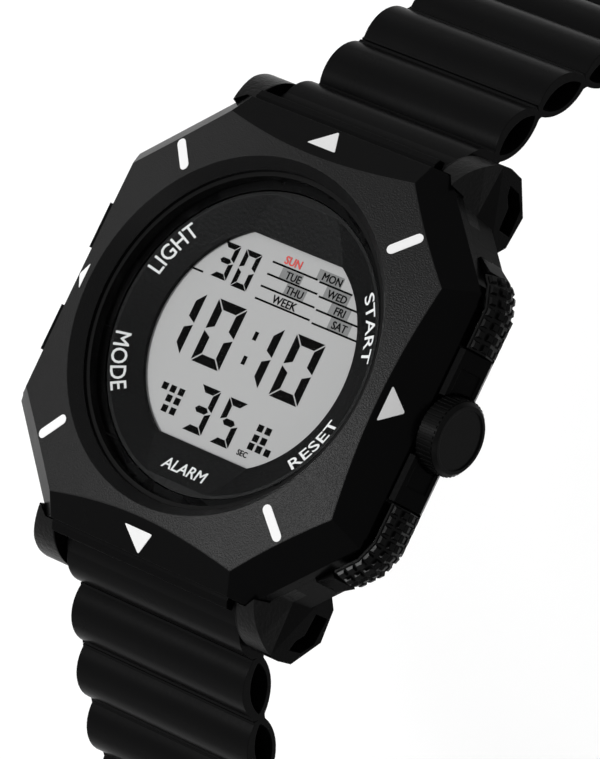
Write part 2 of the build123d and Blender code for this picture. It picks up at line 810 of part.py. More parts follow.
def stem_spring():
    """Return spring between the case and the pad."""
    length = bezel_half_width + pad_standoff - spring_pocket_floor
    spring = coil(spring_wire, spring_radius, spring_turns, length)
    return Pos(spring_pocket_floor, stem_y, level(stem_depth)) * Rot(0, 90, 0) * spring


def stem_seals():
    """The four ring seals of the stems."""
    seals = []
    for x_side in (1, -1):
        for y_side in (1, -1):
            seal = Rot(0, 90, 0) * square_ring(stem_radius + seal_gap + seal_wire, seal_wire)
            seal = Pos(spring_pocket_floor - 2 * seal_wire, stem_y, level(stem_depth)) * seal
            seals.append(mirrored(seal, x_side, y_side))
    return Compound(children=seals)


def spring_bars():
    """The two spring bars that carry the strap halves."""
    bars = []
    for y_side in (1, -1):
        y = y_side * bar_y
        z = level(bar_depth)
        bars.append(rod_x(bar_radius, -bar_half_length, bar_half_length, y, z)
                    + rod_x(bar_pin_radius, -bar_pin_reach, bar_pin_reach, y, z))
    return Compound(children=bars)


def heading_vector(heading):
    """Direction in (away from the case, up) of a heading below the level."""
    return cos(radians(heading)), -sin(radians(heading))


def pillow_stations(start, headings):
    """Groove points of the pillows, each a pitch from the one before."""
    stations = [start]
    for heading in headings:
        run, rise = heading_vector(heading)
        y, z = stations[-1]
        stations.append((y + strap_pitch * run, z + strap_pitch * rise))
    return stations


def lens(first, second, half_top, half_bottom, end_half):
    """Pillow outline between two grooves, from two arcs and two short ends."""
    length = hypot(second[0] - first[0], second[1] - first[1])
    run, rise = (second[0] - first[0]) / length, (second[1] - first[1]) / length
    middle = ((first[0] + second[0]) / 2, (first[1] + second[1]) / 2)

    def off(point, amount):
        return point[0] - rise * amount, point[1] + run * amount

    top = ThreePointArc(off(first, end_half), off(middle, half_top), off(second, end_half))
    bottom = ThreePointArc(off(second, -end_half), off(middle, -half_bottom), off(first, -end_half))
    ends = [Line(off(second, end_half), off(second, -end_half)),
            Line(off(first, -end_half), off(first, end_half))]
    return make_face(Curve() + [top, ends[0], bottom, ends[1]])


def lens_prism(face, x_from, x_to):
    """Solid of an outline in (y, z) between two X planes."""
    return extrude(Plane.YZ.offset(x_from) * face, amount=x_to - x_from)


def shortened(first, second, trim):
    """The two ends of a span, each moved in by a trim."""
    share = trim / hypot(second[0] - first[0], second[1] - first[1])
    return mixed(first, second, share), mixed(second, first, share)


def pillow(first, second):
    """Outer form of one pillow of the strap and the neck it stands on."""
    core = lens(first, second, strap_neck / 2, strap_neck / 2, strap_neck / 2 - fit_gap / 2)
    start, end = shortened(first, second, neck_flat / 2)
    bulge = lens(start, end, pillow_half_top, pillow_half_bottom, strap_neck / 2 - fit_gap)
    return (lens_prism(bulge, -strap_half_width, strap_half_width)
            + lens_prism(core, -strap_half_width, strap_half_width))


def pillow_pockets(first, second):
    """The lens shaped pockets in the two sides of a pillow."""
    start, end = shortened(first, second, neck_flat / 2 + pocket_end_wall)
    hollow = lens(start, end, pillow_half_top - pillow_top_wall, pillow_half_bottom - pillow_bottom_wall,
                  pocket_end_half)
    inner = strap_half_width - pillow_side_pocket
    outer = strap_half_width + overrun
    return [lens_prism(hollow, inner, outer), lens_prism(hollow, -outer, -inner)]


def band_arc(start, heading, length, turn):
    """Curved plain band: its outline in (y, z), its end point and its end heading."""
    radius = length / radians(turn)
    centre = (start[0] - radius * sin(radians(heading)), start[1] - radius * cos(radians(heading)))

    def spot(share, offset):
        angle = radians(heading + turn * share)
        return centre[0] + (radius + offset) * sin(angle), centre[1] + (radius + offset) * cos(angle)

    half = band_thick / 2
    outer = ThreePointArc(spot(0, half), spot(0.5, half), spot(1, half))
    inner = ThreePointArc(spot(1, -half), spot(0.5, -half), spot(0, -half))
    joined = [outer, Line(spot(1, half), spot(1, -half)), inner, Line(spot(0, -half), spot(0, half))]
    return make_face(Curve() + joined), spot


def strap_eye(start):
    """Block that turns on the spring bar and meets the first pillow."""
    centre = (bar_y, level(bar_depth))
    span = hypot(start[0] - centre[0], start[1] - centre[1])
    back = mixed(centre, start, -strap_eye_back / span)
    block_face = lens(back, start, strap_eye_half_top, strap_eye_half_bottom, strap_neck / 2)
    return (rod_x(strap_eye_radius, -strap_half_width, strap_half_width, *centre)
            + lens_prism(block_face, -strap_half_width, strap_half_width))


def taper_cut():
    """Material outside the taper of the plain bands, cut along Y."""
    wide = strap_half_width + overrun
    top, bottom = level(strap_taper_top_depth), level(strap_taper_bottom_depth)
    low = bottom - strap_taper_bottom_depth
    side = [(strap_half_width, top), (strap_end_half_width, bottom), (strap_end_half_width, low),
            (wide, low), (wide, top)]
    cut = prism_y(side, bar_y / 2, -low)
    return [cut, mirror(cut, Plane.YZ)]


def strap_front(start, headings):
    """Eye block and pillows of a strap half."""
    stations = pillow_stations(start, headings)
    spans = list(zip(stations, stations[1:]))
    body = strap_eye(start)
    for first, second in spans:
        body += pillow(first, second)
    for first, second in spans:
        body -= pillow_pockets(first, second)
    return body, stations[-1]


def local_plane(point, heading):
    """Plane on a strap: X across, Y on along the heading, Z away from the wrist."""
    run, rise = heading_vector(heading)
    return Plane(origin=(0, point[0], point[1]), x_dir=(1, 0, 0), z_dir=(0, -rise, run))


def local_block(plane, x_from, x_to, y_from, y_to, z_from, z_to):
    """Box in the axes of a strap plane."""
    outline = Polyline((x_from, y_from), (x_to, y_from), (x_to, y_to), (x_from, y_to), close=True)
    return extrude(plane.offset(z_from) * make_face(outline), amount=z_to - z_from)


def local_rod(plane, radius, x_from, x_to):
    """Round solid across the strap through the origin of a strap plane."""
    cross = Plane(origin=plane.origin + plane.x_dir * x_from, x_dir=plane.y_dir, z_dir=plane.x_dir)
    return extrude(cross * Circle(radius), amount=x_to - x_from)


def buckle_plane():
    """Plane at the buckle pin."""
    stations = pillow_stations(buckle_start, buckle_angles)
    face, spot = band_arc(stations[-1], buckle_angles[-1], buckle_arc_length, buckle_arc_angle)
    heading = buckle_angles[-1] + buckle_arc_angle
    run, rise = heading_vector(heading)
    y, z = spot(1, 0)
    return local_plane((y + buckle_straight * run, z + buckle_straight * rise), heading)


def strap_buckle_half():
    """Strap half at 12 o'clock, ending in the eye of the buckle pin."""
    body, end = strap_front(buckle_start, buckle_angles)
    face, spot = band_arc(end, buckle_angles[-1], buckle_arc_length, buckle_arc_angle)
    body += lens_prism(face, -strap_half_width, strap_half_width)
    plane = buckle_plane()
    half = band_thick / 2
    body += local_block(plane, -strap_half_width, strap_half_width, -buckle_straight, 0, -half, half)
    body -= taper_cut()
    body += local_rod(plane, buckle_eye_radius, -strap_end_half_width, strap_end_half_width)
    bore = buckle_pin_radius + buckle_pin_gap
    body -= local_rod(plane, bore, -strap_half_width, strap_half_width)
    half = tongue_slot_width / 2
    body -= local_block(plane, -half, half, -tongue_slot_length, buckle_eye_radius + overrun,
                        -buckle_eye_radius - overrun, buckle_eye_radius + overrun)
    return body - bar_bore()


def bar_bore():
    """Bore of the spring bar in the eye block of a strap half."""
    return rod_x(bar_radius + strap_bore_gap, -strap_half_width - overrun, strap_half_width + overrun,
                 bar_y, level(bar_depth))


def strap_tail_half():
    """Strap half at 6 o'clock with its holes and its narrowed tip, built on the 12 o'clock side."""
    body, end = strap_front(tail_start, tail_angles)
    first = tail_angles[-1]
    face, spot = band_arc(end, first, tail_arc_length, tail_arc_angle)
    body += lens_prism(face, -strap_half_width, strap_half_width)
    plane = local_plane(spot(1, 0), first + tail_arc_angle)
    half = band_thick / 2
    body += local_block(plane, -strap_half_width, strap_half_width, 0, tail_tip_length, -half, half)
    body -= taper_cut()
    wide = strap_half_width + overrun
    tip = make_face(Polyline((strap_end_half_width, 0), (tail_tip_half_width, tail_tip_length),
                             (tail_tip_half_width, tail_tip_length + overrun),
                             (wide, tail_tip_length + overrun), (wide, 0), close=True))
    cut = extrude(plane * tip, amount=band_thick, both=True)
    body -= [cut, mirror(cut, Plane.YZ)]
    for number in range(hole_count):
        share = hole_first_share + number * hole_step_share
        hole = local_plane(spot(share, 0), first + tail_arc_angle * share)
        body -= extrude(hole * Circle(hole_radius), amount=band_thick, both=True)
    return mirror(body - bar_bore(), Plane.XZ)


def buckle_frame():
    """Frame of the buckle, its bar across the far end."""
    plane = buckle_plane()
    inner = strap_end_half_width + frame_side_gap
    outer = inner + frame_side
    half = frame_thick / 2
    body = local_block(plane, -outer, outer, -frame_back, frame_length, -half, half)
    body = chamfer(body.edges().filter_by(Axis(plane.origin, plane.z_dir)), frame_corner / 2)
    window_end = frame_length - frame_end
    body -= local_block(plane, -inner, inner, -frame_back - overrun, window_end, -frame_thick, frame_thick)
    return body - local_rod(plane, buckle_pin_radius, -outer + frame_side / 2, outer - frame_side / 2)


def buckle_pin():
    """Pin of the buckle, held in both sides of the frame."""
    reach = strap_end_half_width + frame_side_gap + frame_side / 2
    return local_rod(buckle_plane(), buckle_pin_radius, -reach, reach)


def buckle_tongue():
    """Tongue that turns on the buckle pin and rests on the frame's end."""
    plane = buckle_plane()
    side = plane.origin - plane.x_dir * tongue_half_width
    cross = Plane(origin=side, x_dir=plane.y_dir, z_dir=plane.x_dir)
    eye = buckle_pin_radius + tongue_eye_wall
    rest = frame_thick / 2 + tongue_lift
    blade = Polyline((0, -eye / 3), (frame_length - frame_end - tongue_overhang, rest - tongue_thick / 2),
                     (frame_length - frame_end - tongue_overhang / 2, rest),
                     (frame_length + tongue_overhang, rest),
                     (frame_length + tongue_overhang, rest + tongue_thick / 2),
                     (frame_length - frame_end, rest + tongue_thick), (0, eye), close=True)
    body = extrude(cross * make_face(blade), amount=2 * tongue_half_width)
    body += extrude(cross * Circle(eye), amount=2 * tongue_half_width)
    return body - local_rod(plane, buckle_pin_radius + buckle_pin_gap, -strap_half_width, strap_half_width)


def keeper():
    """Loop round the strap that holds the tail when the watch is closed."""
    plane = buckle_plane()
    half = strap_end_half_width + keeper_gap
    low = -band_thick / 2 - keeper_gap
    high = band_thick / 2 + keeper_room
    wall = keeper_wall
    near, far = -keeper_place - keeper_length / 2, -keeper_place + keeper_length / 2
    body = local_block(plane, -half - wall, half + wall, near, far, low - wall, high + wall)
    body = chamfer(body.edges().filter_by(Axis(plane.origin, plane.y_dir)), wall / 2)
    return body - local_block(plane, -half, half, near - overrun, far + overrun, low, high)


def display_parts():
    """Layers under the window."""
    top = level(display_top_depth)
    save(display_layer(top, display_thick), "lcd_glass")
    save(display_layer(top - display_thick, reflector_thick), "lcd_reflector")
    save(display_layer(top - display_thick - reflector_thick, backlight_thick), "backlight_panel")
    save(Compound(children=connector_strips(0)), "lcd_connectors")


def board_parts():
    """Board and what stands on it."""
    top = level(board_top_depth)
    save(circuit_board(), "circuit_board")
    chip = block(-chip_half, chip_half, chip_y - chip_half, chip_y + chip_half, top, top + chip_thick)
    save(chip, "control_chip")
    half = quartz_length / 2
    save(rod_x(quartz_radius, -half, half, quartz_y, top + quartz_radius), "quartz_crystal")
    save(side_contacts(), "side_contacts")


def sounder_parts():
    """Buzzer on the case back and its spring."""
    save(disc_z(buzzer_radius, back_thick, back_thick + buzzer_thick, 0, buzzer_y), "buzzer_disc")
    low = back_thick + buzzer_thick
    spring = coil(buzzer_spring_wire, buzzer_spring_radius - buzzer_spring_wire, buzzer_spring_turns,
                  level(board_top_depth) - board_thick - low)
    save(Pos(0, buzzer_spring_y, low) * spring, "buzzer_spring")


def pusher_parts():
    """The four pushers, each with its own pad, stem, clip and spring."""
    pads = (pad(upper_pad_corner_length), pad(lower_pad_corner_length))
    shapes = (("stem", stem()), ("clip", stem_clip()), ("spring", stem_spring()))
    for name, x_side, y_side in (("start", 1, 1), ("reset", 1, -1), ("light", -1, 1), ("mode", -1, -1)):
        save(mirrored(pads[0] if y_side > 0 else pads[1], x_side, y_side), name + "_pad")
        for part, shape in shapes:
            save(mirrored(shape, x_side, y_side), name + "_" + part)


save(case_body(), "case_body")
save(bezel(), "bezel")
save(crown(), "crown")
save(crystal(), "crystal")
save(crystal_gasket(), "crystal_gasket")
save(dial_ring(), "dial_ring")
display_parts()
save(module_holder(), "module_holder")
board_parts()
save(battery_tray(), "battery_tray")
save(battery(), "battery")
save(battery_clip(), "battery_clip")
sounder_parts()
save(case_back(), "case_back")
save(back_gasket(), "back_gasket")
save(back_screws(), "back_screws")
pusher_parts()
save(stem_seals(), "stem_seals")
save(spring_bars(), "spring_bars")
save(strap_buckle_half(), "strap_buckle_half")
save(strap_tail_half(), "strap_tail_half")
save(buckle_frame(), "buckle_frame")
save(buckle_pin(), "buckle_pin")
save(buckle_tongue(), "buckle_tongue")
save(keeper(), "keeper")
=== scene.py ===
import json
from math import cos, pi, radians, sin, sqrt

import bmesh
import bpy
from mathutils import Matrix, Vector


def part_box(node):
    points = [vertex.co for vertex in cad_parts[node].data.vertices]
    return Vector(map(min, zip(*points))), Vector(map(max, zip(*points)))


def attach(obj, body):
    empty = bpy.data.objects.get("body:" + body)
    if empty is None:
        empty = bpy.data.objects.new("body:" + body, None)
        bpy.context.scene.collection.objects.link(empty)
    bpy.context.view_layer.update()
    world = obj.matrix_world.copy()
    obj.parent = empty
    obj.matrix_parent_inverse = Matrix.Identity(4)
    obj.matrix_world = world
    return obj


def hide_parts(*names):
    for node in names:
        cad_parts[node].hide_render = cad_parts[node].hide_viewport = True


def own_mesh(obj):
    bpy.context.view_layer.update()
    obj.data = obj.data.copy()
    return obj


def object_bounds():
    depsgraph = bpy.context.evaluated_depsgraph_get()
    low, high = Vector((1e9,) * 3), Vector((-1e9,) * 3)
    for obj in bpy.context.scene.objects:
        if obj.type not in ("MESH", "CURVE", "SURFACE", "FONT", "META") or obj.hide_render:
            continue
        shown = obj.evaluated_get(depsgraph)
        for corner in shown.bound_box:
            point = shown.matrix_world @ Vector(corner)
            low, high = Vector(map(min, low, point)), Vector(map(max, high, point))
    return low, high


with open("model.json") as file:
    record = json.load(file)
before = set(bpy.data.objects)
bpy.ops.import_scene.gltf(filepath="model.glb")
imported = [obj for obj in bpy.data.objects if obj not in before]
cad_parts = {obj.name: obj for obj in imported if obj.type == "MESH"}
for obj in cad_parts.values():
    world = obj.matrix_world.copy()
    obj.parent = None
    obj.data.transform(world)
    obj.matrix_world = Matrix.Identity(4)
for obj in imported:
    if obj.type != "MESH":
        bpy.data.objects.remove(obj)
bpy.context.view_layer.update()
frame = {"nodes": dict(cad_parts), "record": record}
mm = 0.001
weldReach = 0.001 * mm  # joins the doubled vertices of a CAD mesh

# The surfaces that the marks lie on, in millimetres from the middle of the case back's outer face
dial = {"markerLevel": 14.2, "markerRadius": 21.0, "coneSlope": 0.2, "facetStart": 20.65, "facetLevel": 13.6,
        "rimRadius": 15.4, "rimLevel": 11.6, "windowRadius": 12.4, "windowLevel": 10.2,
        "windowHeight": 10.83, "flatSlope": 0.344, "displayTop": 9.7}


def addNode(tree, kind, inputs=(), **settings):
    node = tree.nodes.new("ShaderNode" + kind)
    for key, value in settings.items():
        setattr(node, key, value)
    for key, value in dict(inputs).items():
        if isinstance(value, bpy.types.NodeSocket):
            tree.links.new(value, node.inputs[key])
        else:
            node.inputs[key].default_value = value
    return node


def mathNode(tree, operation, first, second=0.0):
    return addNode(tree, "Math", {0: first, 1: second}, operation=operation).outputs["Value"]


# What every finish has unless its own dictionary says otherwise; edge and grainDepth are in millimetres
plainLook = {"colour": (0.01, 0.01, 0.01), "rough": 0.4, "metal": 0.0, "level": 0.3, "edge": 0.12,
             "grain": 0.2, "grainScale": 2600.0, "grainDepth": 0.08, "wear": 0.06, "wearScale": 160.0,
             "detail": 3.0, "edgeSamples": 4, "stretch": None, "patch": None}


def makeMaterial(name, look):
    look = {**plainLook, **look}
    material = bpy.data.materials.new(name)
    material.use_nodes = True
    tree = material.node_tree
    shader = tree.nodes["Principled BSDF"]
    shader.inputs["Base Color"].default_value = (*look["colour"], 1.0)
    shader.inputs["Metallic"].default_value = look["metal"]
    shader.inputs["Specular IOR Level"].default_value = look["level"]
    spot = addNode(tree, "TexCoord").outputs["Object"]
    laid = spot
    if look["stretch"]:
        laid = addNode(tree, "Mapping", {"Vector": spot, "Scale": look["stretch"]}).outputs["Vector"]
    fine = addNode(tree, "TexNoise", {"Vector": laid, "Scale": look["grainScale"], "Detail": look["detail"]})
    soft = addNode(tree, "TexNoise", {"Vector": laid, "Scale": look["wearScale"], "Detail": look["detail"]})
    rough = addNode(tree, "MapRange", {"Value": soft.outputs["Fac"], "To Min": look["rough"] - look["wear"],
                                       "To Max": look["rough"] + look["wear"]}).outputs["Result"]
    strength = look["grain"]
    if look["patch"]:  # a moulded texture on part of the surface; on the ear tops its lighter colour is partly a painted highlight
        patch = look["patch"](tree, spot)
        # The patch's colour; on the ear tops its lighter tone is partly a painted highlight
        tint = addNode(tree, "Mix", {"Factor": patch, 6: (*look["colour"], 1.0),
                                     7: (*look["patchColour"], 1.0)}, data_type="RGBA")
        tree.links.new(tint.outputs[2], shader.inputs["Base Color"])
        gloss = addNode(tree, "MapRange", {"Value": patch, "To Min": look["level"],
                                           "To Max": look["patchLevel"]})
        tree.links.new(gloss.outputs["Result"], shader.inputs["Specular IOR Level"])
        shift = mathNode(tree, "MULTIPLY", patch, look["patchRough"] - look["rough"])
        rough = mathNode(tree, "ADD", rough, shift)
        extra = mathNode(tree, "MULTIPLY", patch, look["patchGrain"])
        strength = mathNode(tree, "ADD", extra, look["grain"])
    tree.links.new(rough, shader.inputs["Roughness"])
    bump = {"Height": fine.outputs["Fac"], "Strength": strength, "Distance": look["grainDepth"] * mm}
    if look["edge"]:
        rounded = addNode(tree, "Bevel", {"Radius": look["edge"] * mm}, samples=look["edgeSamples"])
        bump["Normal"] = rounded.outputs["Normal"]
    tree.links.new(addNode(tree, "Bump", bump).outputs["Normal"], shader.inputs["Normal"])
    return material


# Where the bezel and the ears are grained, in millimetres; the ear tops are also painted lighter as a
# highlight
coneTexture = {"reach": 0.04, "bandRadius": 18.5, "bandLevel": 13.3, "bandShare": 0.6}


def onCone(tree, spot):  # 1 on the bezel's shallow cone, less on its inner band, 0 on facets and walls
    flat = addNode(tree, "VectorMath", {0: spot, 1: (1.0, 1.0, 0.0)}, operation="MULTIPLY").outputs["Vector"]
    radius = addNode(tree, "VectorMath", {0: flat}, operation="LENGTH").outputs["Value"]
    height = addNode(tree, "SeparateXYZ", {"Vector": spot}).outputs["Z"]
    top = (dial["markerLevel"] + dial["markerRadius"] * dial["coneSlope"]) * mm
    above = mathNode(tree, "ADD", height, mathNode(tree, "MULTIPLY", radius, dial["coneSlope"]))
    away = mathNode(tree, "ABSOLUTE", mathNode(tree, "SUBTRACT", above, top))
    cone = mathNode(tree, "LESS_THAN", away, coneTexture["reach"] * mm)
    inner = mathNode(tree, "LESS_THAN", radius, coneTexture["bandRadius"] * mm)
    high = mathNode(tree, "GREATER_THAN", height, coneTexture["bandLevel"] * mm)
    band = mathNode(tree, "MULTIPLY", inner, high)
    return mathNode(tree, "MAXIMUM", cone, mathNode(tree, "MULTIPLY", band, coneTexture["bandShare"]))


earGrainAndHighlight = {"level": 6.6, "fromMiddleY": 19.5, "fromMiddleX": 12.5}


def onEarTops(tree, spot):  # 1 on the upper faces of the four ears, which get their grain and a painted highlight
    axes = addNode(tree, "SeparateXYZ", {"Vector": spot})
    alongY = mathNode(tree, "ABSOLUTE", axes.outputs["Y"])
    alongX = mathNode(tree, "ABSOLUTE", axes.outputs["X"])
    upper = mathNode(tree, "GREATER_THAN", axes.outputs["Z"], earGrainAndHighlight["level"] * mm)
    far = mathNode(tree, "GREATER_THAN", alongY, earGrainAndHighlight["fromMiddleY"] * mm)
    aside = mathNode(tree, "GREATER_THAN", alongX, earGrainAndHighlight["fromMiddleX"] * mm)
    return mathNode(tree, "MULTIPLY", mathNode(tree, "MULTIPLY", upper, far), aside)


def makeClear(name, look):
    material = bpy.data.materials.new(name)
    material.use_nodes = True
    tree = material.node_tree
    tree.nodes.remove(tree.nodes["Principled BSDF"])
    clear = addNode(tree, "BsdfTransparent", {"Color": (*look["colour"], 1.0)})
    spot = addNode(tree, "TexCoord").outputs["Object"]
    smear = addNode(tree, "TexNoise", {"Vector": spot, "Scale": look["smearScale"]}).outputs["Fac"]
    rough = addNode(tree, "MapRange", {"Value": smear, "To Min": 0.0, "To Max": look["rough"]})
    wave = addNode(tree, "Bump", {"Height": smear, "Strength": look["wave"],
                                  "Distance": look["waveDepth"] * mm})
    gloss = addNode(tree, "BsdfGlossy", {"Roughness": rough.outputs["Result"],
                                         "Normal": wave.outputs["Normal"]})
    slant = addNode(tree, "Fresnel", {"IOR": look["index"]}).outputs["Fac"]
    mix = addNode(tree, "MixShader", {"Fac": slant, 1: clear.outputs["BSDF"], 2: gloss.outputs["BSDF"]})
    tree.links.new(mix.outputs["Shader"], tree.nodes["Material Output"].inputs["Surface"])
    return material


print("materials")
looks = {
    # The ear tops' lighter patchColour is partly a painted highlight, laid over their real grain
    "case_resin": {"colour": (0.0022, 0.0022, 0.0023), "rough": 0.28, "level": 0.025, "grain": 0.1,
                   "patch": onEarTops, "patchGrain": 0.7, "patchColour": (0.004, 0.004, 0.004),
                   "patchRough": 0.34, "patchLevel": 0.07},
    "bezel_resin": {"colour": (0.0015, 0.0015, 0.0016), "rough": 0.28, "level": 0.025, "edge": 0.16,
                    "grain": 0.08, "grainScale": 6500.0, "patch": onCone, "patchGrain": 0.6,
                    "patchColour": (0.002, 0.002, 0.0021), "patchRough": 0.37, "patchLevel": 0.13},
    "pad_resin": {"colour": (0.0015, 0.0015, 0.0015), "rough": 0.26, "level": 0.06, "grain": 0.08,
                  "edge": 0.06},
    "crown_resin": {"colour": (0.002, 0.002, 0.002), "rough": 0.3, "level": 0.045, "grain": 0.1},
    "strap_rubber": {"colour": (0.0022, 0.0022, 0.0023), "rough": 0.29, "level": 0.032, "grain": 0.1,
                     "grainScale": 1800.0},
    "steel": {"colour": (0.55, 0.55, 0.54), "rough": 0.32, "metal": 1.0, "grain": 0.15, "grainScale": 900.0,
              "stretch": (1.0, 0.02, 1.0)},
    "bright_steel": {"colour": (0.62, 0.62, 0.62), "rough": 0.18, "metal": 1.0, "grain": 0.05},
    "spring_steel": {"colour": (0.45, 0.45, 0.45), "rough": 0.3, "metal": 1.0, "grain": 0.05, "edge": 0.0},
    "seal_rubber": {"colour": (0.003, 0.003, 0.003), "rough": 0.6, "level": 0.05, "edge": 0.0},
    "dial_resin": {"colour": (0.002, 0.002, 0.0021), "rough": 0.4, "level": 0.08, "grain": 0.5, "edge": 0.1},
    "display_glass": {"colour": (0.426, 0.42, 0.42), "rough": 0.4, "level": 0.2, "grain": 0.03, "edge": 0.0},
    "reflector_foil": {"colour": (0.75, 0.76, 0.75), "rough": 0.35, "metal": 1.0, "edge": 0.0},
    "backlight_plastic": {"colour": (0.7, 0.8, 0.78), "rough": 0.4, "edge": 0.0},
    "holder_plastic": {"colour": (0.03, 0.03, 0.032), "rough": 0.5, "edge": 0.0},
    "board_laminate": {"colour": (0.01, 0.12, 0.04), "rough": 0.4, "edge": 0.0},
    "chip_plastic": {"colour": (0.01, 0.01, 0.01), "rough": 0.35, "edge": 0.0},
    "contact_brass": {"colour": (0.72, 0.5, 0.2), "rough": 0.25, "metal": 1.0, "grain": 0.05, "edge": 0.0},
}
finishes = {slot: makeMaterial(slot, look) for slot, look in looks.items()}
clearLook = {"colour": (0.985, 0.99, 0.99), "index": 1.05, "rough": 0.04, "smearScale": 260.0,
             "wave": 0.05, "waveDepth": 0.05}
finishes["crystal_glass"] = makeClear("crystal_glass", clearLook)
inkLooks = {
    "whitePrint": {"colour": (0.88, 0.88, 0.88), "rough": 0.55, "grain": 0.05, "edge": 0.0},
    "blackSegment": {"colour": (0.002, 0.002, 0.002), "level": 0.01, "grain": 0.02, "edge": 0.0},
    "greySegment": {"colour": (0.22, 0.22, 0.22), "level": 0.1, "grain": 0.02, "edge": 0.0},
    "redSegment": {"colour": (0.7, 0.08, 0.07), "level": 0.1, "grain": 0.02, "edge": 0.0},
}
inks = {name: makeMaterial(name, look) for name, look in inkLooks.items()}
for entry in frame["record"]["subparts"]:
    node = frame["nodes"][entry["node"]]
    node.data.materials.clear()
    node.data.materials.append(finishes[entry["material_slot"]])


def keepMesh(name, shape, material, body="case"):
    mesh = bpy.data.meshes.new(name)
    shape.to_mesh(mesh)
    shape.free()
    mesh.materials.append(material)
    piece = bpy.data.objects.new(name, mesh)
    bpy.context.collection.objects.link(piece)
    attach(piece, body)
    return piece


# Lays flat faces on a surface by their place, then extrudes them down into closed thin prints
def addPrint(name, shape, place, layer, material):
    bmesh.ops.triangulate(shape, faces=shape.faces)
    for vert in shape.verts:
        vert.co = Vector(place(vert.co.x, vert.co.y, layer["lift"])) * mm
    lower = bmesh.ops.extrude_face_region(shape, geom=shape.faces[:])["geom"]
    lower = [part for part in lower if isinstance(part, bmesh.types.BMVert)]
    bmesh.ops.translate(shape, verts=lower, vec=(0.0, 0.0, -layer["thick"] * mm))
    bmesh.ops.recalc_face_normals(shape, faces=shape.faces)
    return keepMesh(name, shape, material)


def outlineShape(outlines):
    shape = bmesh.new()
    for outline in outlines:
        shape.faces.new([shape.verts.new((x, y, 0.0)) for x, y in outline])
    return shape


typeface = {"curveSteps": 3, "weldShare": 0.01}


def wordShape(text, size, bold):
    curve = bpy.data.curves.new(text, "FONT")
    curve.body = text
    curve.size = size
    curve.align_x = "CENTER"
    curve.resolution_u = typeface["curveSteps"]
    holder = bpy.data.objects.new(text, curve)
    bpy.context.collection.objects.link(holder)
    bpy.context.view_layer.update()
    mesh = bpy.data.meshes.new_from_object(holder.evaluated_get(bpy.context.evaluated_depsgraph_get()))
    shape = bmesh.new()
    shape.from_mesh(mesh)
    bpy.data.objects.remove(holder)
    bpy.data.meshes.remove(mesh)
    bpy.data.curves.remove(curve)
    bmesh.ops.remove_doubles(shape, verts=shape.verts, dist=typeface["weldShare"] * size)
    rim = bmesh.ops.inset_region(shape, faces=shape.faces[:], use_boundary=True, use_even_offset=True,
                                 thickness=-bold * size)  # a negative inset makes the strokes bolder
    bmesh.ops.delete(shape, geom=rim["faces"], context="FACES")
    return shape


def boxOutline(x0, y0, x1, y1):
    return [(x0, y0), (x1, y0), (x1, y1), (x0, y1)]


print("bezel marks")
hourBar = {"turns": (45, 135, 225, 315), "half": 0.5, "reach": 1.9, "steps": 8, "lift": 0.05, "thick": 0.06}


def barOutline(turn):  # round ended bar that lies along a radius
    outline = []
    half = hourBar["half"]
    for side in (1, -1):
        for step in range(hourBar["steps"] + 1):
            angle = pi * (step / hourBar["steps"] - 0.5) + (0 if side > 0 else pi)
            along = dial["markerRadius"] + side * (hourBar["reach"] - half) + half * cos(angle)
            across = half * sin(angle)
            outline.append((along * cos(turn) - across * sin(turn), along * sin(turn) + across * cos(turn)))
    return outline


def conePlace(x, y, lift):
    inward = dial["markerRadius"] - sqrt(x * x + y * y)
    return x, y, dial["markerLevel"] + inward * dial["coneSlope"] + lift


addPrint("hourBars", outlineShape([barOutline(radians(turn)) for turn in hourBar["turns"]]), conePlace,
         hourBar, inks["whitePrint"])

# The left triangle is smaller and stays on the cone, because the facet there falls away from sight
hourTriangle = {"round": 0.22, "steps": 4, "lift": 0.06, "thick": 0.06, "shapes": {
    "12": {"turn": 0, "half": 1.85, "base": 20.55, "apex": 22.75, "slope": 0.736},
    "9": {"turn": 90, "half": 1.4, "base": 19.1, "apex": 19.95, "slope": 1.333},
    "6": {"turn": 180, "half": 1.85, "base": 20.55, "apex": 22.75, "slope": 0.736},
    "3": {"turn": 270, "half": 1.85, "base": 20.55, "apex": 21.9, "slope": 1.333}}}


def roundedTriangle(base, apex, half):  # base tangential, apex outward, along +Y
    corners = [Vector((-half, base)), Vector((half, base)), Vector((0, apex))]
    outline = []
    for k in range(3):
        here, before, after = corners[k], corners[k - 1], corners[(k + 1) % 3]
        start = here + (before - here).normalized() * hourTriangle["round"]
        end = here + (after - here).normalized() * hourTriangle["round"]
        for step in range(hourTriangle["steps"] + 1):
            t = step / hourTriangle["steps"]
            outline.append(tuple(start * (1 - t) ** 2 + here * 2 * t * (1 - t) + end * t ** 2))
    return outline


def facetPlace(turn, slope):  # on the facet, and on the cone where that lies lower
    def place(x, y, lift):
        facet = dial["facetLevel"] - slope * (y - dial["facetStart"])
        spot = Matrix.Rotation(turn, 3, "Z") @ Vector((x, y, 0))
        return spot.x, spot.y, min(facet + lift, conePlace(x, y, lift)[2])
    return place


for hour, side in hourTriangle["shapes"].items():
    shape = outlineShape([roundedTriangle(side["base"], side["apex"], side["half"])])
    addPrint("hourTriangle" + hour, shape, facetPlace(radians(side["turn"]), side["slope"]),
             hourTriangle, inks["whitePrint"])

print("dial words")
# A word with a turn of -1 reads clockwise, and one with a turn of 1 the other way
ringWords = (
    {"text": "LIGHT", "middle": 154.9, "radius": 14.0, "turn": -1, "size": 2.12, "lean": -0.05},
    {"text": "START", "middle": 25.8, "radius": 13.85, "turn": -1, "size": 2.34, "lean": 0.06},
    {"text": "RESET", "middle": -24.9, "radius": 15.35, "turn": 1, "size": 2.6, "lean": -0.25},
    {"text": "MODE", "middle": -155.2, "radius": 15.35, "turn": 1, "size": 2.28, "lean": 0.0},
)
ringPrint = {"bold": 0.008, "lift": 0.05, "thick": 0.03}


